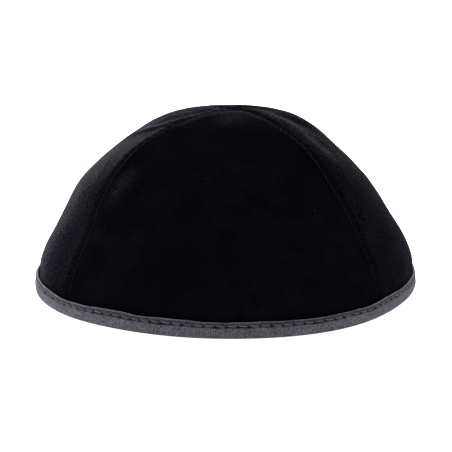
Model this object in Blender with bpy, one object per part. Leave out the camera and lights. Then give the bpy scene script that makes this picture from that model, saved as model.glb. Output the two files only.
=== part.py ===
"""A four-panel velvet kippah whose rim is bound with a folded ribbon.

Metres, +Z up. The bound rim stands on z = 0, the front panel faces -Y, and the origin is the middle of the
standing model's bounding box. An azimuth is in degrees from the front, positive towards +X. An elevation is in
degrees, seen from the middle of the dome's lower edge: 0 at that edge and 90 at the crown's tip.
"""

from bisect import bisect_right
from math import acos, asin, cos, degrees, radians, sin, sqrt

import bmesh
import bpy
import numpy as np
from mathutils import Vector

# Driving sizes
RIM_RADIUS = 0.080  # outside of the bound rim
CROWN_HEIGHT = 0.070  # nominal rise of the dome over its own lower edge
PANEL_WALL = 0.0018  # velvet with its backing
SEAM_EDGE_THICKNESS = 0.0007  # what is left of the wall where a panel rolls into a seam
SEAM_ROLL_WIDTH = 0.0024  # how far from a seam a panel starts to roll in
RIBBON_THICKNESS = 0.0008
BINDING_HEIGHT = 0.0063  # a half-inch ribbon folded in half
BINDING_FOLD_RADIUS = 0.0006  # rounding of the binding's two lower edges
FIT_GAP = 0.0003  # clearance between neighbouring pieces
CROWN_HOLE_RADIUS = 0.0008  # the pinhole where the four tips meet

# Sizes that follow from them
DOME_RADIUS = RIM_RADIUS - RIBBON_THICKNESS - FIT_GAP
DOME_BASE = RIBBON_THICKNESS + FIT_GAP
SEAM_ROLL_DEPTH = PANEL_WALL - SEAM_EDGE_THICKNESS

# Mesh density
PANEL_ROWS = 14  # above the binding
PANEL_SPANS = 14  # between the rolled edges
RING_STEPS = 80
ROLL_SHARES = (0.0, 0.12, 0.4, 1.0)  # shares of the roll's width, from the seam inwards
ROLL_LIMIT = 0.2  # the roll's largest share of a panel's width, near the tips
SHARP_FOLD_ANGLE = radians(40)  # edges that fold more than this stay sharp in the shading

# Elevation, distance from the middle of the lower edge at a panel's middle and at its seams (shares of the
# ellipsoid of DOME_RADIUS and CROWN_HEIGHT), and sideways lean (share of DOME_RADIUS)
SECTION_SHARES = (
    (0, 1.000, 1.000, 0.000),
    (12, 0.988, 1.001, 0.004),
    (26, 0.956, 0.999, 0.003),
    (40, 0.970, 1.032, -0.005),
    (55, 0.986, 1.060, 0.005),
    (70, 1.030, 1.040, 0.022),
    (82, 1.031, 1.031, 0.029),
    (90, 1.015, 1.015, 0.030),
)

# Seam, and its azimuth at each of SEAM_ANGLES
SEAM_ANGLES = (0, 30, 60, 90)
SEAM_AZIMUTHS = (
    ("front_left", -51.0, -47.5, -46.5, -44.5),
    ("front_right", 49.0, 44.5, 40.0, 42.5),
    ("back_right", 135.0, 135.0, 135.0, 135.0),
    ("back_left", 225.0, 225.0, 225.0, 225.0),
)

# The panel that follows each seam, in the order of SEAM_AZIMUTHS
PANELS = ("panel_front", "panel_right", "panel_back", "panel_left")

# Azimuth, and how far the soft rim stands out there (share of DOME_RADIUS), fading towards the crown
RIM_WAVE_SHARES = (
    (-100, -0.0045),
    (-68, 0.0120),
    (-50, 0.0130),
    (-32, -0.0030),
    (0, -0.0030),
    (32, 0.0160),
    (60, -0.0060),
    (80, 0.0020),
    (130, 0.0000),
    (180, 0.0000),
    (230, 0.0000),
)

# Linear colour, roughness
VELVET_LOOK = ((0.006, 0.006, 0.010), 0.95)
RIBBON_LOOK = ((0.085, 0.085, 0.098), 0.60)


def curve_through(places, values, at):
    """Smooth curve through the values: cubic spans whose slopes come from the neighbouring rows."""
    slopes = np.gradient(values, places)
    i = min(max(bisect_right(places, at) - 1, 0), len(places) - 2)
    span = places[i + 1] - places[i]
    t = (at - places[i]) / span
    start = (2 * t**3 - 3 * t**2 + 1) * values[i] + (t**3 - 2 * t**2 + t) * span * slopes[i]
    end = (3 * t**2 - 2 * t**3) * values[i + 1] + (t**3 - t**2) * span * slopes[i + 1]
    return start + end


def rim_wave(azimuth, elevation):
    """How far the soft rim stands out at this azimuth, as a share of DOME_RADIUS."""
    first, last = RIM_WAVE_SHARES[0], RIM_WAVE_SHARES[-1]
    rows = [(last[0] - 360, last[1]), *RIM_WAVE_SHARES, (first[0] + 360, first[1])]
    places, shares = zip(*rows)
    turned = (azimuth - first[0]) % 360 + first[0]
    return curve_through(places, shares, turned) * (1 - elevation / 90) ** 2


def seam_azimuths(elevation):
    """Azimuth of each seam at this elevation, with the first one repeated a turn further on."""
    found = [curve_through(SEAM_ANGLES, row[1:], elevation) for row in SEAM_AZIMUTHS]
    return [*found, found[0] + 360]


def dome_share(azimuth, elevation):
    """Distance share of the dome: the panel's middle value, growing with the square towards its seams."""
    seams = seam_azimuths(elevation)
    turned = (azimuth - seams[0]) % 360 + seams[0]
    left = min(bisect_right(seams, turned), len(SEAM_AZIMUTHS)) - 1
    across = 2 * (turned - seams[left]) / (seams[left + 1] - seams[left]) - 1
    places, middles, edges, _ = zip(*SECTION_SHARES)
    middle = curve_through(places, middles, elevation)
    edge = curve_through(places, edges, elevation)
    return middle + (edge - middle) * across**2 + rim_wave(azimuth, elevation)


def dome_point(azimuth, elevation, inset=0.0):
    """A point of the dome's outside, moved inset metres towards the middle of the lower edge."""
    share = dome_share(azimuth, elevation)
    out = share * DOME_RADIUS * cos(radians(elevation))
    up = share * CROWN_HEIGHT * sin(radians(elevation))
    kept = 1 - inset / sqrt(out**2 + up**2)
    places, _, _, leans = zip(*SECTION_SHARES)
    lean = DOME_RADIUS * curve_through(places, leans, elevation)
    x = kept * out * sin(radians(azimuth)) + lean
    y = -kept * out * cos(radians(azimuth))
    return Vector((x, y, DOME_BASE + kept * up))


def roll_stops(width):
    """Distances across a panel of this width, close together where it rolls into its seams, and each one's dip."""
    reach = min(SEAM_ROLL_WIDTH, ROLL_LIMIT * width)
    rolled = [(share * reach, SEAM_ROLL_DEPTH * (1 - sqrt(1 - (1 - share) ** 2))) for share in ROLL_SHARES]
    step = (width - 2 * reach) / PANEL_SPANS
    flat = [(reach + step * i, 0.0) for i in range(1, PANEL_SPANS)]
    return rolled + flat + [(width - distance, dip) for distance, dip in reversed(rolled)]


def panel_row(left_seam, elevation):
    """Outer and inner points across one panel, at one elevation."""
    seams = seam_azimuths(elevation)
    middle = (seams[left_seam] + seams[left_seam + 1]) / 2
    radius = dome_share(middle, elevation) * DOME_RADIUS * cos(radians(elevation))
    setback = FIT_GAP / 2
    width = radius * radians(seams[left_seam + 1] - seams[left_seam]) - 2 * setback
    outer = []
    inner = []
    for distance, dip in roll_stops(width):
        azimuth = seams[left_seam] + degrees((setback + distance) / radius)
        outer.append(dome_point(azimuth, elevation, dip))
        inner.append(dome_point(azimuth, elevation, PANEL_WALL))
    return outer, inner


def binding_top():
    """Elevation of the binding's upper edge."""
    return degrees(asin((BINDING_HEIGHT - DOME_BASE) / CROWN_HEIGHT))


def panel_sections(left_seam):
    """Closed sections of a panel: its lower edge, the binding's upper edge, and rows from there to its tip."""
    low = binding_top()
    high = degrees(acos(CROWN_HOLE_RADIUS / DOME_RADIUS))
    rows = [low + (high - low) * row / PANEL_ROWS for row in range(PANEL_ROWS + 1)]
    sections = []
    for elevation in [0, *rows]:
        outer, inner = panel_row(left_seam, elevation)
        sections.append(outer + inner[::-1])
    return sections


def binding_section(azimuth):
    """Section of the folded ribbon at one azimuth: out and up, over, down, along the fold, and the same inside."""
    top = binding_top()
    crest = top * (1 + RIBBON_THICKNESS / BINDING_HEIGHT / 2)

    def leg(near, far):
        return [
            dome_point(azimuth, 0, near),
            dome_point(azimuth, top, near),
            dome_point(azimuth, crest, (near + far) / 2),
            dome_point(azimuth, top, far),
            dome_point(azimuth, 0, far),
        ]

    def at_height(inset, height):
        point = dome_point(azimuth, 0, inset)
        return Vector((point.x, point.y, height))

    outside = -FIT_GAP - RIBBON_THICKNESS
    inside = PANEL_WALL + FIT_GAP + RIBBON_THICKNESS
    fold = BINDING_FOLD_RADIUS
    corner = fold * (1 - sqrt(0.5))
    return [
        at_height(outside + fold, 0),
        at_height(outside + corner, corner),
        at_height(outside, fold),
        *leg(outside, -FIT_GAP),
        at_height(-FIT_GAP, RIBBON_THICKNESS),
        at_height(PANEL_WALL + FIT_GAP, RIBBON_THICKNESS),
        *leg(PANEL_WALL + FIT_GAP, inside),
        at_height(inside, fold),
        at_height(inside - corner, corner),
        at_height(inside - fold, 0),
    ]


def lofted(name, sections, ring, material):
    """One closed mesh through sections of equal length, which close on the first one if ring is set."""
    shape = bmesh.new()
    loops = [[shape.verts.new(point) for point in section] for section in sections]
    pairs = list(zip(loops, loops[1:] + loops[:1])) if ring else list(zip(loops, loops[1:]))
    for lower, upper in pairs:
        for i, vertex in enumerate(lower):
            j = (i + 1) % len(lower)
            shape.faces.new((vertex, lower[j], upper[j], upper[i]))
    if not ring:
        half = len(loops[0]) // 2
        for loop in (loops[0], loops[-1]):
            for i in range(half - 1):
                shape.faces.new((loop[i], loop[i + 1], loop[-2 - i], loop[-1 - i]))
    bmesh.ops.recalc_face_normals(shape, faces=shape.faces)
    mesh = bpy.data.meshes.new(name)
    shape.to_mesh(mesh)
    shape.free()
    mesh.shade_smooth()
    mesh.set_sharp_from_angle(angle=SHARP_FOLD_ANGLE)
    mesh.materials.append(material)
    piece = bpy.data.objects.new(name, mesh)
    bpy.context.scene.collection.objects.link(piece)
    return piece


def cloth(name, look):
    """A plain Principled material of the cloth's own colour."""
    colour, roughness = look
    material = bpy.data.materials.new(name)
    material.use_nodes = True
    shader = material.node_tree.nodes["Principled BSDF"]
    shader.inputs["Base Color"].default_value = (*colour, 1.0)
    shader.inputs["Roughness"].default_value = roughness
    shader.inputs["Metallic"].default_value = 0.0
    return material


def centred(pieces):
    """Moves the finished meshes level, so that the middle of their bounding box stands over the origin."""
    corners = [vertex.co for piece in pieces for vertex in piece.data.vertices]
    low = [min(corner[i] for corner in corners) for i in (0, 1)]
    high = [max(corner[i] for corner in corners) for i in (0, 1)]
    middle = Vector(((low[0] + high[0]) / 2, (low[1] + high[1]) / 2, 0))
    for piece in pieces:
        for vertex in piece.data.vertices:
            vertex.co -= middle


def build():
    for thing in list(bpy.data.objects):
        bpy.data.objects.remove(thing)
    pieces = []
    for left_seam, name in enumerate(PANELS):
        velvet = cloth(name + "_velvet", VELVET_LOOK)
        pieces.append(lofted(name, panel_sections(left_seam), False, velvet))
    ring = [binding_section(360 * step / RING_STEPS) for step in range(RING_STEPS)]
    pieces.append(lofted("rim_binding", ring, True, cloth("binding_ribbon", RIBBON_LOOK)))
    centred(pieces)


build()
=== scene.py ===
"""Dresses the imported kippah: velvet gores, folded ribbon binding, topstitching, studio floor, lights and camera.

Metres, +Z up, front panel towards -Y. An azimuth is in degrees from the front, positive towards +X. An elevation
is in degrees seen from the middle of the dome's lower edge: 0 at that edge, 90 at the crown's tip. The dome's
tables repeat those of the solids, so each dressed piece lies on the node that it replaces.
"""

from math import atan2, cos, pi, radians, sin

import bpy
import numpy as np
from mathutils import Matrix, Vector


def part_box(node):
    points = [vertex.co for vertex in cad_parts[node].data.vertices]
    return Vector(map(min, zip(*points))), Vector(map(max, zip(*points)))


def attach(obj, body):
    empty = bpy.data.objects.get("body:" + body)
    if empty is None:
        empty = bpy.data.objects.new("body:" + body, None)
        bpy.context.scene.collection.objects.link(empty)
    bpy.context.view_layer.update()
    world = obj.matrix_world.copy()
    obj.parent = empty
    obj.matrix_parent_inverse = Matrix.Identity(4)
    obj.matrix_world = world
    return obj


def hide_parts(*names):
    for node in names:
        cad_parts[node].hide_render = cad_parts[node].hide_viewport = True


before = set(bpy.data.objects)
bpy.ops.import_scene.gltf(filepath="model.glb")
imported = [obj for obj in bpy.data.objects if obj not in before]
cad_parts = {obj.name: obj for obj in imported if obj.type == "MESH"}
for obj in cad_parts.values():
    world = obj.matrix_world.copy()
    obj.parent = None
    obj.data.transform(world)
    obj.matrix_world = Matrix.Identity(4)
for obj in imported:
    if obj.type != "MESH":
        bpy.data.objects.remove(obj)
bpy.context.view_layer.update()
BODY = "root"

# Sizes of the cap
RIM_RADIUS = 0.080
CROWN_HEIGHT = 0.070
PANEL_WALL = 0.0018
RIBBON_THICKNESS = 0.0008
BINDING_HEIGHT = 0.0063
FIT_GAP = 0.0003
DOME_RADIUS = RIM_RADIUS - RIBBON_THICKNESS - FIT_GAP
DOME_BASE = RIBBON_THICKNESS + FIT_GAP

# Elevation, distance at a panel's middle and at its seams (shares of the ellipsoid), sideways lean
SECTION_SHARES = (
    (0, 1.000, 1.000, 0.000),
    (12, 0.988, 1.001, 0.004),
    (26, 0.956, 0.999, 0.003),
    (40, 0.970, 1.032, -0.005),
    (55, 0.986, 1.060, 0.005),
    (70, 1.030, 1.040, 0.022),
    (82, 1.031, 1.031, 0.029),
    (90, 1.015, 1.015, 0.030),
)

# Azimuth of each seam at SEAM_ANGLES
SEAM_ANGLES = (0, 30, 60, 90)
SEAM_AZIMUTHS = (
    ("front_left", -51.0, -47.5, -46.5, -44.5),
    ("front_right", 49.0, 44.5, 40.0, 42.5),
    ("back_right", 135.0, 135.0, 135.0, 135.0),
    ("back_left", 225.0, 225.0, 225.0, 225.0),
)
PANELS = ("front", "right", "back", "left")

# How strongly each panel's pile blooms at grazing angles, how pale its fibre tips are and how strong the
# painted highlight along its seams is. The nap runs a different way on every gore, and the left gore is also a
# lit copy of the velvet: its larger bloom and paler tips are painted light for the stronger light from the left
PANEL_BLOOM = (0.09, 0.08, 0.11, 0.23)
PANEL_TIPS = (0.003, 0.008, 0.009, 0.013)
SEAM_GLINTS = (0.09, 0.04, 0.04, 0.04)

# Azimuth, outward stand of the soft rim (share of DOME_RADIUS)
RIM_WAVE_SHARES = (
    (-100, -0.0045),
    (-68, 0.0120),
    (-50, 0.0130),
    (-32, -0.0030),
    (0, -0.0030),
    (32, 0.0160),
    (60, -0.0060),
    (80, 0.0020),
    (130, 0.0000),
    (180, 0.0000),
    (230, 0.0000),
)

# Velvet detail
VELVET_ROWS = 240
VELVET_SPANS = 90
SEAM_SETBACK = 0.0000005
ROLL_WIDTH = 0.0026
ROLL_STEPS = 10
TIP_RADIUS = 0.00002
PILE = 0.00018
PUCKER_PITCH = 0.0030
PUCKER_DEPTH = 0.00020
PUCKER_REACH = 0.0022
UNDULATION = 0.00016
# Width of the painted shade in the seam valleys
SEAM_SHADE_WIDTH = 0.0019
LIP_SETBACK = 0.0006
ALLOWANCE_WIDTH = 0.006
ALLOWANCE_THICKNESS = 0.0007

# Depth of each seam's valley at SEAM_ANGLES (millimetres), in the order of SEAM_AZIMUTHS
SEAM_DEPTHS = (
    (1.5, 1.4, 0.7, 0.3),
    (1.4, 1.4, 1.4, 1.2),
    (1.4, 1.4, 1.3, 1.0),
    (1.4, 1.4, 1.3, 1.0),
)

# Panel, half width and height of a soft fold or fuller place (millimetres), and the (azimuth, elevation) line it follows
FOLDS = (
    ("left", 2.4, 0.80, ((-93, 56), (-88, 59), (-75, 63), (-62, 66), (-56, 70), (-51, 73))),
    ("left", 2.6, -0.80, ((-70, 67), (-64, 71), (-60, 76), (-57, 81), (-60, 84))),
    ("left", 4.0, 0.40, ((-95, 68), (-92, 74), (-92, 80))),
    ("left", 14.0, 0.35, ((-105, 66), (-105, 74))),
    ("left", 8.0, 0.55, ((-88, 31), (-90, 37))),
    ("left", 6.0, -0.45, ((-84, 17), (-94, 18))),
    ("left", 5.0, 0.30, ((-84, 7), (-94, 7))),
    ("right", 4.0, -0.60, ((42, 50), (42, 62), (43, 74), (44, 82))),
    ("right", 3.6, 0.50, ((75, 84), (60, 81), (54, 76), (53, 70), (57, 65), (64, 61), (72, 55))),
    ("right", 3.5, -0.55, ((95, 82), (73, 79), (66, 74), (66, 69), (74, 65))),
    ("right", 5.0, -0.45, ((86, 82), (92, 76))),
    ("right", 12.0, 0.45, ((98, 58), (100, 66))),
    ("right", 9.0, -0.35, ((88, 42), (88, 50))),
    ("right", 7.0, 0.85, ((82, 7), (94, 7))),
    ("front", 2.4, 0.35, ((-40, 68), (-34, 75), (-28, 81))),
)

# Panel, half width (millimetres), strength and (azimuth, elevation) line of a painted highlight: pale colour on
# folds, crests and the band near the left outline, standing in for the sheen they catch at grazing angles
PAINTED_SHEEN_LINES = (
    ("left", 1.2, 0.19, ((-95, 55), (-88, 59), (-75, 63), (-62, 66), (-55, 70), (-50, 74))),
    ("left", 3.4, 0.07, ((-86, 61), (-78, 65), (-71, 68), (-65, 71), (-61, 75))),
    ("left", 5.0, 0.08, ((-66, 77), (-76, 77), (-88, 76), (-102, 76))),
    ("left", 14.0, 0.06, ((-88, 8), (-90, 20), (-90, 34), (-92, 42), (-94, 48))),
    ("right", 3.5, 0.13, ((88, 82), (62, 77), (57, 70), (57, 64), (56, 58), (58, 52))),
    ("front", 5.0, 0.030, ((-6, 75), (6, 78))),
    ("front", 3.5, 0.035, ((-43, 38), (-41, 43), (-40, 47))),
    ("front", 1.5, 0.08, ((-42, 68), (-36, 75), (-20, 81), (8, 84), (30, 81), (37, 74), (38, 68))),
)

# Ribbon detail
STITCHES = 122
STITCH_DROP = 0.00135  # below the ribbon's upper edge
STITCH_PHASES = (0.0, 0.05, 0.11, 0.2, 0.35, 0.5, 0.65, 0.8, 0.89, 0.95)
GROOVE_DEPTH = 0.00024
HOLE_DEPTH = 0.00045
GROOVE_HALF_WIDTH = 0.00038
RIBBON_FOLD_RADIUS = 0.0006
BAND_SWELL = 0.00026
EDGE_CORD = 0.00014
THREAD_RADIUS = 0.00019
THREAD_SIDES = 6
THREAD_STEPS = 9

# Azimuth, how far the ribbon's upper edge wanders up (millimetres)
EDGE_LIFTS = (
    (-180, 0.00),
    (-70, 0.00),
    (-58, 0.00),
    (-50, -0.35),
    (-43, -0.10),
    (-35, 0.50),
    (-29, 0.45),
    (-22, 0.10),
    (-12, 0.15),
    (-6, -0.15),
    (0, -0.35),
    (8, -0.20),
    (18, -0.30),
    (26, -0.35),
    (33, -0.15),
    (43, -0.40),
    (51, 0.30),
    (62, 0.00),
    (75, 0.00),
    (180, 0.00),
)

# Camera
CAMERA_DISTANCE = 6.0 * RIM_RADIUS
CAMERA_ELEVATION = 16.3
CAMERA_AIM = Vector((0.0, 0.0, 0.282 * RIM_RADIUS))
PICTURE_SIDE = 452
FOCAL_PIXELS = 186.09 * 6.0
SENSOR = 36.0


def curve_through(places, values, at):
    """Smooth curve through the values: cubic spans whose slopes come from the neighbouring rows."""
    places = np.asarray(places, float)
    values = np.asarray(values, float)
    slopes = np.gradient(values, places)
    i = np.clip(np.searchsorted(places, at, side="right") - 1, 0, len(places) - 2)
    span = places[i + 1] - places[i]
    t = (at - places[i]) / span
    start = (2 * t**3 - 3 * t**2 + 1) * values[i] + (t**3 - 2 * t**2 + t) * span * slopes[i]
    end = (3 * t**2 - 2 * t**3) * values[i + 1] + (t**3 - t**2) * span * slopes[i + 1]
    return start + end


def rim_wave(azimuth, elevation):
    first, last = RIM_WAVE_SHARES[0], RIM_WAVE_SHARES[-1]
    rows = [(last[0] - 360, last[1]), *RIM_WAVE_SHARES, (first[0] + 360, first[1])]
    places, shares = zip(*rows)
    turned = (azimuth - first[0]) % 360 + first[0]
    return curve_through(places, shares, turned) * (1 - elevation / 90) ** 2


def seam_azimuths(elevation):
    found = [curve_through(SEAM_ANGLES, row[1:], elevation) for row in SEAM_AZIMUTHS]
    return [*found, found[0] + 360]


def dome_share(azimuth, elevation):
    """Distance share of the dome, growing with the square from a panel's middle to its seams."""
    seams = seam_azimuths(elevation)
    turned = (azimuth - seams[0]) % 360 + seams[0]
    across = np.ones_like(turned)
    for left, right in zip(seams, seams[1:]):
        inside = (turned >= left) & (turned <= right)
        across = np.where(inside, 2 * (turned - left) / (right - left) - 1, across)
    places, middles, edges, _ = zip(*SECTION_SHARES)
    middle = curve_through(places, middles, elevation)
    edge = curve_through(places, edges, elevation)
    return middle + (edge - middle) * across**2 + rim_wave(azimuth, elevation)


def dome_points(azimuth, elevation, inset=0.0):
    """Points of the dome's outside, moved inset metres towards the middle of the lower edge."""
    azimuth, elevation = np.broadcast_arrays(np.asarray(azimuth, float), np.asarray(elevation, float))
    share = dome_share(azimuth, elevation)
    out = share * DOME_RADIUS * np.cos(np.radians(elevation))
    up = share * CROWN_HEIGHT * np.sin(np.radians(elevation))
    kept = 1 - inset / np.hypot(out, up)
    places, _, _, leans = zip(*SECTION_SHARES)
    lean = DOME_RADIUS * curve_through(places, leans, elevation)
    x = kept * out * np.sin(np.radians(azimuth)) + lean
    y = -kept * out * np.cos(np.radians(azimuth))
    return np.stack([x, y, DOME_BASE + kept * up], -1) - MIDDLE


def frame_middle():
    """Where the solids' own bounding box puts the origin, on the tables' axes."""
    azimuth = np.arange(0, 360, 0.25)
    rim = dome_points(azimuth, 0 * azimuth, -FIT_GAP - RIBBON_THICKNESS)
    middle = (rim.min(0) + rim.max(0)) / 2
    low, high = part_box("rim_binding")
    return np.array([middle[0] - (low[0] + high[0]) / 2, middle[1] - (low[1] + high[1]) / 2, 0.0])


MIDDLE = np.zeros(3)
MIDDLE = frame_middle()


def waves(points, wavelength, seed, count=9):
    """A smooth random field between about -1 and 1: plane waves of one wavelength in seeded directions."""
    random = np.random.RandomState(seed)
    directions = random.normal(size=(count, 3))
    directions /= np.linalg.norm(directions, axis=1)[:, None]
    phases = random.uniform(0, 2 * pi, count)
    scales = random.uniform(0.7, 1.4, count)
    field = sum(
        np.sin(2 * pi * scale / wavelength * (points @ direction) + phase)
        for direction, phase, scale in zip(directions, phases, scales)
    )
    return field / np.sqrt(count)


def mesh_object(name, vertices, faces, materials, face_materials=None):
    mesh = bpy.data.meshes.new(name)
    mesh.from_pydata(vertices.tolist(), [], faces.tolist())
    mesh.update()
    mesh.shade_smooth()
    for material in materials:
        mesh.materials.append(material)
    if face_materials is not None:
        mesh.polygons.foreach_set("material_index", face_materials.astype(np.int32))
    piece = bpy.data.objects.new(name, mesh)
    bpy.context.scene.collection.objects.link(piece)
    return piece


def add_mask(piece, name, values):
    """Stores one number for each vertex, for a material to read."""
    layer = piece.data.attributes.new(name, "FLOAT", "POINT")
    layer.data.foreach_set("value", np.asarray(values, np.float32).ravel())


# Materials


class Shader:
    """A small helper that builds one Principled material out of named nodes."""

    def __init__(self, name, roughness, specular=0.5, sheen=0.0, sheen_roughness=0.3, sheen_tint=(1, 1, 1)):
        self.material = bpy.data.materials.new(name)
        self.material.use_nodes = True
        self.tree = self.material.node_tree
        self.surface = self.tree.nodes["Principled BSDF"]
        self.set("Roughness", roughness)
        self.set("Specular IOR Level", specular)
        self.set("Sheen Weight", sheen)
        self.set("Sheen Roughness", sheen_roughness)
        self.set("Sheen Tint", (*sheen_tint, 1.0))
        self.place = self.tree.nodes.new("ShaderNodeTexCoord").outputs["Object"]

    def set(self, socket, value):
        self.surface.inputs[socket].default_value = value

    def node(self, kind, inputs=(), **settings):
        made = self.tree.nodes.new(kind)
        for key, value in settings.items():
            setattr(made, key, value)
        for key, value in dict(inputs).items():
            if isinstance(value, bpy.types.NodeSocket):
                self.tree.links.new(value, made.inputs[key])
            else:
                made.inputs[key].default_value = value
        return made

    def noise(self, scale, detail=2.0, roughness=0.5):
        inputs = {"Vector": self.place, "Scale": scale, "Detail": detail, "Roughness": roughness}
        return self.node("ShaderNodeTexNoise", inputs).outputs["Fac"]

    def math(self, operation, first, second=0.0, third=0.0):
        return self.node("ShaderNodeMath", {0: first, 1: second, 2: third}, operation=operation).outputs[0]

    def ramp(self, value, low, high, bottom=0.0, top=1.0):
        """Stretches a number from low..high to bottom..top, clamped."""
        inputs = {"Value": value, "From Min": low, "From Max": high, "To Min": bottom, "To Max": top}
        return self.node("ShaderNodeMapRange", inputs, clamp=True).outputs["Result"]

    def mix(self, share, first, second):
        made = self.node("ShaderNodeMix", data_type="RGBA")
        for key, value in ((0, share), (6, first), (7, second)):
            if isinstance(value, bpy.types.NodeSocket):
                self.tree.links.new(value, made.inputs[key])
            else:
                made.inputs[key].default_value = value
        return made.outputs[2]

    def link(self, value, socket):
        self.tree.links.new(value, self.surface.inputs[socket])

    def bump(self, height, strength, distance):
        inputs = {"Height": height, "Strength": strength, "Distance": distance}
        self.link(self.node("ShaderNodeBump", inputs).outputs["Normal"], "Normal")


def velvet_material(panel, bloom, tips, glint):
    """Short black pile: almost no light straight on, a blue-grey bloom at grazing angles, uneven nap, some lint.
    Pale colour along crests and seam lips is painted highlight, darker colour in the seam valleys painted shade.
    """
    tint = (0.88, 0.86, 1.0)
    shader = Shader("velvet_pile_" + panel, 1.0, specular=0.0, sheen=bloom, sheen_roughness=0.15, sheen_tint=tint)
    grain = shader.node("ShaderNodeVectorMath", {0: shader.place, 1: (1.0, 0.5, 1.0)}, operation="MULTIPLY")
    grain = {"Vector": grain.outputs[0], "Scale": 1400.0, "Detail": 2.0, "Roughness": 0.7}
    fibres = shader.node("ShaderNodeTexNoise", grain).outputs["Fac"]
    nap = shader.noise(95, 4.0, 0.6)
    patches = shader.noise(26, 2.0, 0.5)
    tone = shader.math("MULTIPLY", shader.ramp(nap, 0.35, 0.7), shader.ramp(patches, 0.35, 0.65))
    dark, worn = (0.0012, 0.0012, 0.0024, 1.0), (0.0040, 0.0040, 0.0066, 1.0)
    colour = shader.mix(tone, dark, worn)
    fibres = shader.ramp(fibres, 0.45, 0.75)
    colour = shader.mix(fibres, colour, (tips, 0.98 * tips, 1.3 * tips, 1.0))
    # Painted highlight: pale colour along folds and crests, standing in for the sheen they catch
    painted_sheen = shader.node("ShaderNodeAttribute", attribute_name="painted_sheen").outputs["Fac"]
    painted_sheen = shader.math("MULTIPLY", painted_sheen, shader.ramp(fibres, 0.0, 1.0, 0.35, 2.2))
    colour = shader.mix(painted_sheen, colour, (0.16, 0.155, 0.19, 1.0))
    # Painted shade: darker colour in the seam valleys, where shade falls
    painted_seam_shade = shader.node("ShaderNodeAttribute", attribute_name="painted_seam_shade").outputs["Fac"]
    colour = shader.mix(painted_seam_shade, colour, (0.0008, 0.0008, 0.0014, 1.0))
    # Painted highlight: a pale, beaded line along each seam's lip, where the rolled pile catches the light
    lip = shader.node("ShaderNodeAttribute", attribute_name="lip").outputs["Fac"]
    colour = shader.mix(shader.math("MULTIPLY", lip, glint), colour, (0.15, 0.15, 0.21, 1.0))
    lint = shader.node("ShaderNodeTexVoronoi", {"Vector": shader.place, "Scale": 150.0}, feature="F1")
    speck = shader.ramp(lint.outputs["Distance"], 0.03, 0.06, 1.0, 0.0)
    channel = shader.node("ShaderNodeSeparateColor", {"Color": lint.outputs["Color"]})
    chosen = shader.ramp(channel.outputs[0], 0.93, 0.94)
    colour = shader.mix(shader.math("MULTIPLY", speck, chosen), colour, (0.02, 0.02, 0.024, 1.0))
    shader.link(colour, "Base Color")
    tufts = shader.node("ShaderNodeTexVoronoi", {"Vector": shader.place, "Scale": 1500.0}, feature="F1")
    height = shader.math("ADD", shader.math("MULTIPLY", nap, 0.5), tufts.outputs["Distance"])
    shader.bump(height, 1.0, 0.00018)
    return shader.material


def backing_material():
    """The velvet's woven back, seen from underneath."""
    shader = Shader("velvet_back", 0.9, specular=0.1, sheen=0.15)
    weave = woven(shader, 0.0006)
    shader.link(shader.mix(weave, (0.006, 0.006, 0.008, 1.0), (0.016, 0.016, 0.020, 1.0)), "Base Color")
    shader.bump(weave, 0.5, 0.0002)
    return shader.material


def woven(shader, pitch):
    """Plain weave on the object's own axes."""
    split = shader.node("ShaderNodeSeparateXYZ", {"Vector": shader.place})
    warp = shader.math("SINE", shader.math("MULTIPLY", split.outputs["X"], 2 * pi / pitch))
    weft = shader.math("SINE", shader.math("MULTIPLY", split.outputs["Y"], 2 * pi / pitch))
    return shader.ramp(shader.math("MULTIPLY", warp, weft), -1.0, 1.0)


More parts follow.
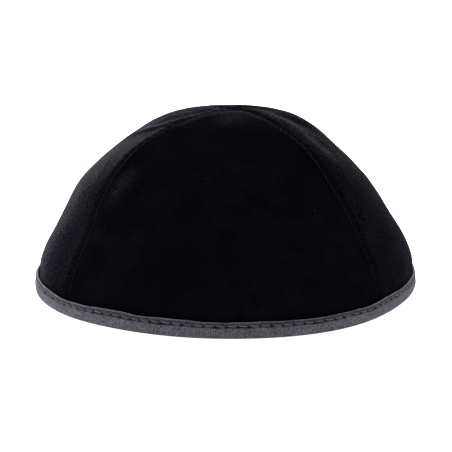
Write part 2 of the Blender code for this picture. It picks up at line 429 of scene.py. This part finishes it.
def ribbon_material():
    """Charcoal grosgrain: ribs across the ribbon and heathered yarns, with a painted highlight along the upper edge,
    painted shade on the lip above the stitching and painted shade in the needle holes and under the stitches.
    """
    shader = Shader("ribbon_grosgrain", 0.8, specular=0.12, sheen=0.04, sheen_roughness=0.45)
    split = shader.node("ShaderNodeSeparateXYZ", {"Vector": shader.place})
    turn = shader.math("ARCTAN2", split.outputs["X"], split.outputs["Y"])
    along = shader.math("MULTIPLY", turn, RIM_RADIUS)
    up = shader.math("MULTIPLY", split.outputs["Z"], 0.5)
    weft = shader.node("ShaderNodeCombineXYZ", {"X": along, "Y": up}).outputs["Vector"]
    streak = shader.node("ShaderNodeTexNoise", {"Vector": weft, "Scale": 2400.0, "Detail": 1.0, "Roughness": 0.6})
    streak = shader.ramp(streak.outputs["Fac"], 0.40, 0.60)
    ribs = shader.ramp(shader.math("SINE", shader.math("MULTIPLY", turn, 780.0)), -1.0, 1.0)
    yarn = shader.ramp(shader.noise(2600, 1.0, 0.6), 0.40, 0.60)
    blotch = shader.ramp(shader.noise(230, 3.0, 0.6), 0.3, 0.7)
    rib = shader.math("ADD", shader.math("MULTIPLY", streak, 0.5), shader.math("MULTIPLY", ribs, 0.5))
    tone = shader.math("ADD", shader.math("MULTIPLY", rib, 0.42), shader.math("MULTIPLY", yarn, 0.40))
    tone = shader.math("ADD", tone, shader.math("MULTIPLY", blotch, 0.18))
    tone = shader.ramp(tone, 0.30, 0.72)
    lip = shader.node("ShaderNodeAttribute", attribute_name="lip").outputs["Fac"]
    colour = shader.mix(tone, (0.024, 0.024, 0.030, 1.0), (0.126, 0.122, 0.150, 1.0))
    # Painted shade: the same grosgrain, darker, for the lip above the stitching
    shade = shader.mix(tone, (0.005, 0.005, 0.007, 1.0), (0.046, 0.044, 0.056, 1.0))
    colour = shader.mix(lip, colour, shade)
    # Painted highlight: a pale line along the upper edge, where the fold catches the light
    edge = shader.node("ShaderNodeAttribute", attribute_name="edge").outputs["Fac"]
    edge = shader.math("MULTIPLY", edge, shader.ramp(blotch, 0.2, 0.8, 0.4, 1.0))
    colour = shader.mix(edge, colour, (0.22, 0.216, 0.245, 1.0))
    # Painted shade: almost black in the needle holes, and a painted shadow along the line under the stitches
    painted_stitch_shade = shader.node("ShaderNodeAttribute", attribute_name="painted_stitch_shade").outputs["Fac"]
    colour = shader.mix(painted_stitch_shade, colour, (0.004, 0.004, 0.005, 1.0))
    shader.link(colour, "Base Color")
    shader.bump(shader.math("ADD", rib, shader.math("MULTIPLY", yarn, 0.5)), 0.7, 0.00022)
    return shader.material


def thread_material():
    """Charcoal sewing thread."""
    shader = Shader("binding_thread", 0.6, specular=0.2, sheen=0.05)
    twist = shader.noise(3000, 1.0)
    shader.link(shader.mix(twist, (0.050, 0.049, 0.060, 1.0), (0.140, 0.137, 0.160, 1.0)), "Base Color")
    shader.bump(twist, 0.4, 0.0001)
    return shader.material


# Velvet gores


def across_shares(widths):
    """For each row, shares across the panel: close together near both seams, even between."""
    near = np.minimum(2 * ROLL_WIDTH / widths, 0.3)[:, None]
    steps = (np.arange(ROLL_STEPS + 1) / ROLL_STEPS) ** 1.6
    left = near * steps[None, :]
    inner = np.linspace(0, 1, VELVET_SPANS + 1)[1:-1]
    middle = near + (1 - 2 * near) * inner[None, :]
    shares = np.concatenate([left, middle, 1 - left[:, ::-1]], axis=1)
    setback = (SEAM_SETBACK / widths)[:, None]
    return setback + (1 - 2 * setback) * shares


def roll_dip(distance, depth):
    """How far the velvet dips at this distance from a seam, as it rolls over into it."""
    return depth * (1 - np.sqrt(1 - np.clip(1 - distance / ROLL_WIDTH, 0, 1) ** 2))


def along_lines(points, panel, table):
    """Sum of the panel's lines in a table, each fading with the distance from it and towards its ends."""
    rise = np.zeros(points.shape[:-1])
    for owner, half_width, height, line in table:
        if owner != panel:
            continue
        places, levels = zip(*line)
        steps = np.linspace(0, len(line) - 1, 12 * (len(line) - 1) + 1)
        turns = curve_through(range(len(line)), places, steps)
        ridge = dome_points(turns, curve_through(range(len(line)), levels, steps))
        fade = np.sin(pi * np.clip((steps + 0.35) / (len(line) - 0.3), 0, 1)) ** 0.7
        best = np.zeros_like(rise)
        for middle, share in zip(ridge, fade):
            apart = ((points - middle) ** 2).sum(-1) / (0.001 * half_width) ** 2
            best = np.maximum(best, share * np.exp(-apart))
        rise += height * best
    return rise


def gore(name, left_seam, materials):
    """One velvet gore: pile side rolled into its seams, woven side with pressed seam allowances."""
    top = 90 - np.degrees(TIP_RADIUS / DOME_RADIUS)
    rise = np.linspace(0, 1, VELVET_ROWS + 1)
    elevation = (top * rise)[:, None]
    seams = seam_azimuths(elevation)
    left, right = seams[left_seam], seams[left_seam + 1]
    radius = dome_share((left + right) / 2, elevation) * DOME_RADIUS * np.cos(np.radians(elevation))
    widths = (radius * np.radians(right - left))[:, 0]
    share = across_shares(widths)
    azimuth = left + (right - left) * share
    elevation = np.broadcast_to(elevation, azimuth.shape)
    from_left, from_right = share * widths[:, None], (1 - share) * widths[:, None]
    distance = np.minimum(from_left, from_right)

    plain = dome_points(azimuth, elevation)
    depths = [0.001 * curve_through(SEAM_ANGLES, row, elevation) for row in SEAM_DEPTHS]
    roll = np.maximum(
        roll_dip(from_left, depths[left_seam]),
        roll_dip(from_right, depths[(left_seam + 1) % len(SEAM_DEPTHS)]),
    )
    run = rise[:, None] * 0.11 + 0.0004 * waves(plain, 0.013, 5)
    pucker = PUCKER_DEPTH * np.exp(-distance / PUCKER_REACH) * np.cos(2 * pi * run / PUCKER_PITCH)
    swell = UNDULATION * waves(plain, 0.034, 3) + 0.4 * UNDULATION * waves(plain, 0.012, 4)
    free = np.clip((elevation - 3) / 4, 0, 1)
    pressed = 0.0004 * np.exp(-(((elevation - 4.5) / 2.5) ** 2))
    risen = 0.001 * along_lines(plain, PANELS[left_seam], FOLDS) + PILE - swell - pucker
    outer = dome_points(azimuth, elevation, roll + pressed - risen * free)
    allowance = ALLOWANCE_THICKNESS * np.clip((ALLOWANCE_WIDTH - distance) / 0.0004, 0, 1)
    inner = dome_points(azimuth, elevation, PANEL_WALL + allowance)

    rows, columns = azimuth.shape
    index = np.arange(rows * columns).reshape(rows, columns)
    count = rows * columns
    quads = np.stack([index[:-1, :-1], index[:-1, 1:], index[1:, 1:], index[1:, :-1]], -1).reshape(-1, 4)
    rim = np.concatenate([index[0, :], index[1:, -1], index[-1, -2::-1], index[-2:0:-1, 0]])
    following = np.roll(rim, -1)
    sides = np.stack([rim, rim + count, following + count, following], -1)
    faces = np.concatenate([quads, quads[:, ::-1] + count, sides])
    kinds = np.concatenate([np.zeros(len(quads)), np.ones(len(quads)), np.zeros(len(sides))])
    vertices = np.concatenate([outer.reshape(-1, 3), inner.reshape(-1, 3)])
    piece = mesh_object(name, vertices, faces, materials, kinds)
    beads = 0.65 + 0.35 * np.cos(4 * pi * run / PUCKER_PITCH)
    masks = {
        # Painted highlight along folds and crests
        "painted_sheen": along_lines(plain, PANELS[left_seam], PAINTED_SHEEN_LINES),
        # Painted shade in the seam valleys
        "painted_seam_shade": np.exp(-((distance / SEAM_SHADE_WIDTH) ** 2)),
        # Painted highlight along each seam's lip
        "lip": beads * np.exp(-(((distance - LIP_SETBACK) / 0.00030) ** 2)),
    }
    for name, values in masks.items():
        add_mask(piece, name, np.concatenate([values.ravel(), 0 * values.ravel()]))
    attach(piece, BODY)
    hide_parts("panel_" + PANELS[left_seam])
    return piece


# Ribbon binding


def rim_points(azimuth, height, inset):
    """Points at a height above the floor, on the binding's lean: the dome's own, carried straight down at its foot."""
    elevation = np.degrees(np.arcsin(np.clip((height - DOME_BASE) / CROWN_HEIGHT, 0, 1)))
    points = dome_points(azimuth, elevation, inset)
    points[..., 2] = height
    return points


def stitch_azimuths():
    phases = np.concatenate([np.array(STITCH_PHASES) + k for k in range(STITCHES)])
    return phases * 360 / STITCHES, phases % 1.0


def edge_lift(azimuth):
    """How far the ribbon's upper edge stands above its plain height."""
    places, lifts = zip(*EDGE_LIFTS)
    turned = (azimuth + 180) % 360 - 180
    ring = np.stack([np.sin(np.radians(azimuth)), np.cos(np.radians(azimuth)), 0 * azimuth], -1) * RIM_RADIUS
    return 0.001 * curve_through(places, lifts, turned) + 0.00009 * waves(ring, 0.012, 14)


def ribbon_profile():
    """The folded ribbon's section, all the way round it: (height, inset, outward sense, how much it is face)."""
    outside = -FIT_GAP - RIBBON_THICKNESS
    inside = PANEL_WALL + FIT_GAP + RIBBON_THICKNESS
    half = RIBBON_THICKNESS / 2
    top = BINDING_HEIGHT - half
    fold = RIBBON_FOLD_RADIUS
    rows = []
    for height in np.linspace(fold, top, 30):
        rows.append((height, outside, -1, 1))
    for angle in np.radians([150, 110, 70, 30]):
        rows.append((top + half * sin(angle), outside + half - half * cos(pi - angle), 0, 0.5))
    rows.append((top, -FIT_GAP, 0, 0))
    rows.append((RIBBON_THICKNESS, -FIT_GAP, 0, 0))
    rows.append((RIBBON_THICKNESS, inside - RIBBON_THICKNESS, 0, 0))
    rows.append((top, inside - RIBBON_THICKNESS, 0, 0))
    for angle in np.radians([150, 110, 70, 30]):
        rows.append((top + half * sin(angle), inside - half - half * cos(pi - angle), 0, 0.5))
    for height in np.linspace(top, fold, 14):
        rows.append((height, inside, 1, 1))
    for angle in np.radians([22.5, 45, 67.5, 90]):
        rows.append((fold - fold * sin(angle), inside - fold + fold * cos(angle), 0, 0))
    for angle in np.radians([90, 67.5, 45, 22.5]):
        rows.append((fold - fold * sin(angle), outside + fold - fold * cos(angle), 0, 0))
    return np.array(rows)


def ribbon(materials):
    azimuth, phase = stitch_azimuths()
    profile = ribbon_profile()
    height = np.broadcast_to(profile[None, :, 0], (len(azimuth), len(profile)))
    inset = np.broadcast_to(profile[None, :, 1], height.shape)
    sense = profile[None, :, 2]
    spread = azimuth[:, None] * np.ones_like(height)

    rim = rim_points(spread, height, inset)
    groove_height = BINDING_HEIGHT - STITCH_DROP - 0.0002
    below = height - groove_height
    to_hole = np.minimum(phase, 1 - phase)[:, None] * 2 * pi * RIM_RADIUS / STITCHES
    groove = np.exp(-((below / GROOVE_HALF_WIDTH) ** 2))
    hole = groove * np.exp(-((to_hole / 0.00060) ** 2))
    band = np.clip((groove_height - height) / (groove_height - RIBBON_FOLD_RADIUS), 0, 1)
    swell = BAND_SWELL * np.sin(pi * band) ** 0.8
    lip = np.clip((height - groove_height) / (BINDING_HEIGHT - groove_height), 0, 1)
    lip_swell = (0.00016 - 0.00007 * np.cos(2 * pi * phase)[:, None]) * np.sin(pi * lip)
    cord = EDGE_CORD * np.exp(-(((height - BINDING_HEIGHT + 0.0004) / 0.00030) ** 2))
    slack = 0.00010 * waves(rim, 0.011, 11) + 0.00004 * waves(rim, 0.0035, 12)
    press = GROOVE_DEPTH * groove + HOLE_DEPTH * hole - swell - lip_swell - cord + slack
    points = rim_points(spread, height + edge_lift(azimuth)[:, None] * (height / BINDING_HEIGHT) ** 2, inset - sense * press)

    rows, columns = height.shape
    index = np.arange(rows * columns).reshape(rows, columns)
    ahead = np.roll(index, -1, axis=0)
    faces = np.stack([index, ahead, np.roll(ahead, -1, axis=1), np.roll(index, -1, axis=1)], -1).reshape(-1, 4)
    piece = mesh_object("ribbon_binding", points.reshape(-1, 3), faces, materials)
    on_face = profile[None, :, 3]
    # Painted shadow along a wandering line under the stitches, and painted shade in the needle holes
    wander = 0.00018 * waves(rim * [1, 1, 0], 0.006, 15)
    stitch_shadow = np.exp(-(((below + 0.00015 + wander) / 0.00038) ** 2)) * (0.9 + 0.3 * waves(rim, 0.006, 16))
    add_mask(piece, "painted_stitch_shade", np.clip(1.5 * hole + stitch_shadow, 0, 1) * on_face)
    # Painted highlight along the ribbon's upper edge
    add_mask(piece, "edge", np.exp(-(((height - BINDING_HEIGHT) / 0.00014) ** 2)) + 0 * spread)
    # Painted shade on the lip above the stitching
    add_mask(piece, "lip", np.clip(lip * 6, 0, 1) * on_face + 0 * spread)
    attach(piece, BODY)
    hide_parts("rim_binding")
    return piece


def stitches(name, inset, outward, material):
    """One dash of thread from each needle hole to the next, sunk at both ends and lying a little askew."""
    random = np.random.RandomState(7)
    along = np.linspace(0, 1, THREAD_STEPS)
    starts = np.arange(STITCHES)[:, None]
    azimuth = (starts + 0.07 + 0.86 * along[None, :]) * 360 / STITCHES
    arch = np.clip(np.sin(pi * along), 0, 1) ** 0.4
    slant = random.uniform(0.0002, 0.0007, (STITCHES, 1)) * (0.5 - along[None, :])
    height = BINDING_HEIGHT - STITCH_DROP + slant
    height = height + edge_lift(azimuth) * (height / BINDING_HEIGHT) ** 2
    lift = -0.00045 + 0.00050 * arch
    centre = rim_points(azimuth, height, inset + outward * lift[None, :])
    ahead = np.gradient(centre, axis=1)
    ahead /= np.linalg.norm(ahead, axis=-1, keepdims=True)
    up = np.array([0.0, 0.0, 1.0])
    side = np.cross(ahead, up)
    side /= np.linalg.norm(side, axis=-1, keepdims=True)
    above = np.cross(side, ahead)
    turns = 2 * pi * np.arange(THREAD_SIDES) / THREAD_SIDES
    ring = side[:, :, None, :] * np.cos(turns)[None, None, :, None] + above[:, :, None, :] * np.sin(turns)[None, None, :, None]
    points = centre[:, :, None, :] + THREAD_RADIUS * ring
    count = STITCHES * THREAD_STEPS * THREAD_SIDES
    index = np.arange(count).reshape(STITCHES, THREAD_STEPS, THREAD_SIDES)
    beside = np.roll(index, -1, axis=2)
    faces = np.stack([index[:, :-1], beside[:, :-1], beside[:, 1:], index[:, 1:]], -1).reshape(-1, 4)
    caps = [loop for k in range(STITCHES) for loop in (index[k, 0, ::-1].tolist(), index[k, -1].tolist())]
    mesh = bpy.data.meshes.new(name)
    mesh.from_pydata(points.reshape(-1, 3).tolist(), [], faces.tolist() + caps)
    mesh.update()
    mesh.shade_smooth()
    mesh.materials.append(material)
    piece = bpy.data.objects.new(name, mesh)
    bpy.context.scene.collection.objects.link(piece)
    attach(piece, BODY)
    return piece


# Studio


def floor():
    shader = Shader("studio_floor", 0.9, specular=0.0)
    grain = shader.noise(30, 2.0)
    shader.link(shader.mix(grain, (0.93, 0.93, 0.93, 1.0), (0.95, 0.95, 0.95, 1.0)), "Base Color")
    shader.set("Emission Color", (1.0, 1.0, 1.0, 1.0))
    shader.set("Emission Strength", 0.75)
    side = 20.0
    corners = np.array([(-side, -side, 0), (side, -side, 0), (side, side, 0), (-side, side, 0)])
    plane = mesh_object("floor", corners, np.array([[0, 1, 2, 3]]), [shader.material])


def lamp(name, azimuth, elevation, distance, size, power):
    """A square softbox that looks at the cap's middle."""
    light = bpy.data.lights.new(name, "AREA")
    light.size = size
    light.energy = power
    lamp_object = bpy.data.objects.new(name, light)
    a, e = radians(azimuth), radians(elevation)
    place = Vector((sin(a) * cos(e), -cos(a) * cos(e), sin(e))) * distance
    lamp_object.location = place
    lamp_object.rotation_euler = (CAMERA_AIM - place).to_track_quat("-Z", "Y").to_euler()
    bpy.context.scene.collection.objects.link(lamp_object)


def lights():
    lamp("softbox_left", -110, 35, 1.0, 0.8, 12.0)
    lamp("softbox_right", 110, 40, 1.0, 0.8, 5.0)
    lamp("softbox_back", 180, 55, 1.0, 0.8, 10.0)
    world = bpy.data.worlds.new("studio")
    world.use_nodes = True
    background = world.node_tree.nodes["Background"]
    background.inputs["Color"].default_value = (1.0, 1.0, 1.0, 1.0)
    background.inputs["Strength"].default_value = 0.5
    bpy.context.scene.world = world


def camera():
    made = bpy.data.cameras.new("photo_camera")
    made.sensor_width = SENSOR
    made.lens = FOCAL_PIXELS / PICTURE_SIDE * SENSOR
    made.clip_start = 0.01
    e = radians(CAMERA_ELEVATION)
    eye = bpy.data.objects.new("photo_camera", made)
    eye.location = Vector((0.0, -cos(e), sin(e))) * CAMERA_DISTANCE
    eye.rotation_euler = (CAMERA_AIM - eye.location).to_track_quat("-Z", "Y").to_euler()
    bpy.context.scene.collection.objects.link(eye)
    bpy.context.scene.camera = eye
    bpy.context.scene.view_settings.view_transform = "Standard"


backing = backing_material()
for number, looks in enumerate(zip(PANELS, PANEL_BLOOM, PANEL_TIPS, SEAM_GLINTS)):
    gore("velvet_" + looks[0], number, [velvet_material(*looks), backing])
ribbon([ribbon_material()])
thread = thread_material()
stitches("topstitch_outside", -FIT_GAP - RIBBON_THICKNESS, -1, thread)
stitches("topstitch_inside", PANEL_WALL + FIT_GAP + RIBBON_THICKNESS, 1, thread)
floor()
lights()
camera()
